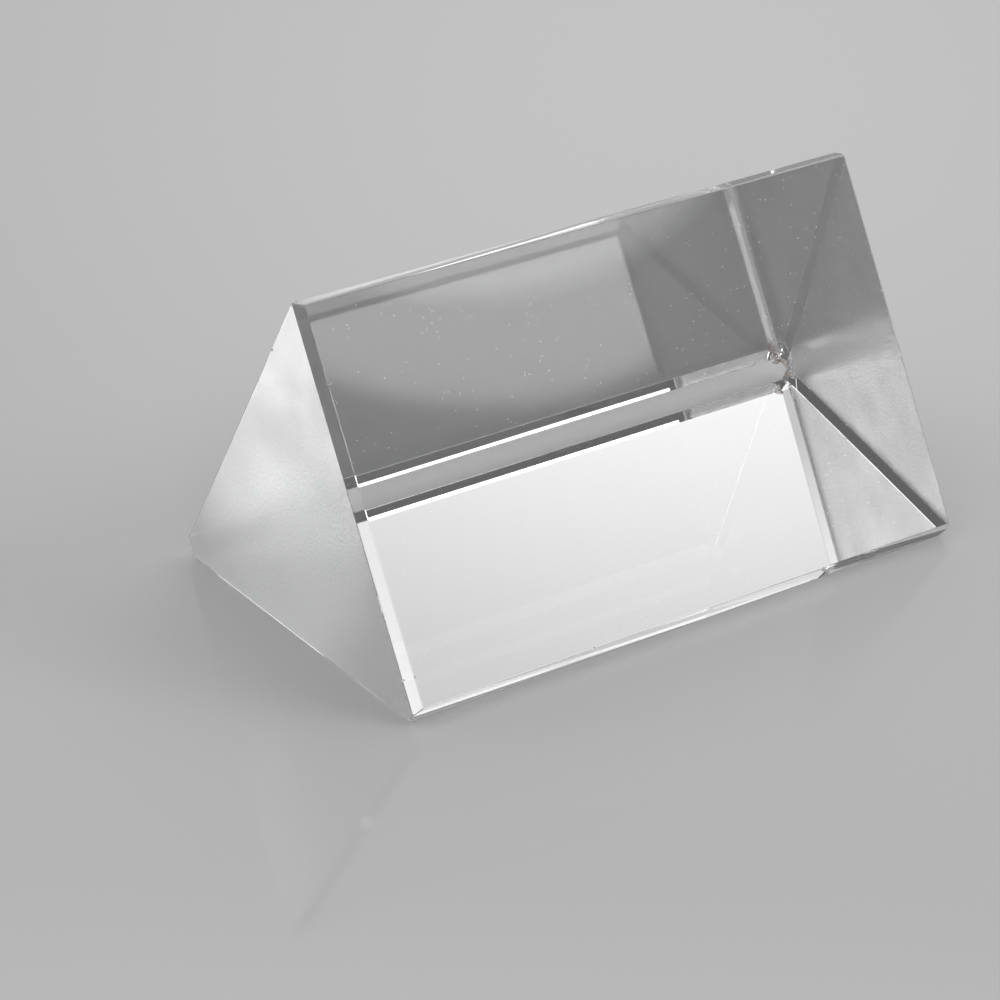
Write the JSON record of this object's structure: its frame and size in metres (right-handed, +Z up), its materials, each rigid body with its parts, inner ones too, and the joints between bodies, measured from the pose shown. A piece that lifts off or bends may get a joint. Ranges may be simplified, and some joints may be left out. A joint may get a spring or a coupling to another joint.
{
  "type": "equilateral prism",
  "caption": "Solid clear glass prism of triangular section with ground bevels, lying on a long face; bends and spreads light.",
  "frame": {"origin": "centre of the footprint, on the plane that the prism rests on", "axes": "+X along the length from the left end to the right end, +Z up to the top edge, -Y out of the front long face's side"},
  "size_m": [0.05, 0.0298, 0.0267],
  "materials": {
    "glass": "polished long faces, finely ground end faces and bevels"
  },
  "bodies": {
    "root": {"prism": "glass"}
  },
  "joints": []
}
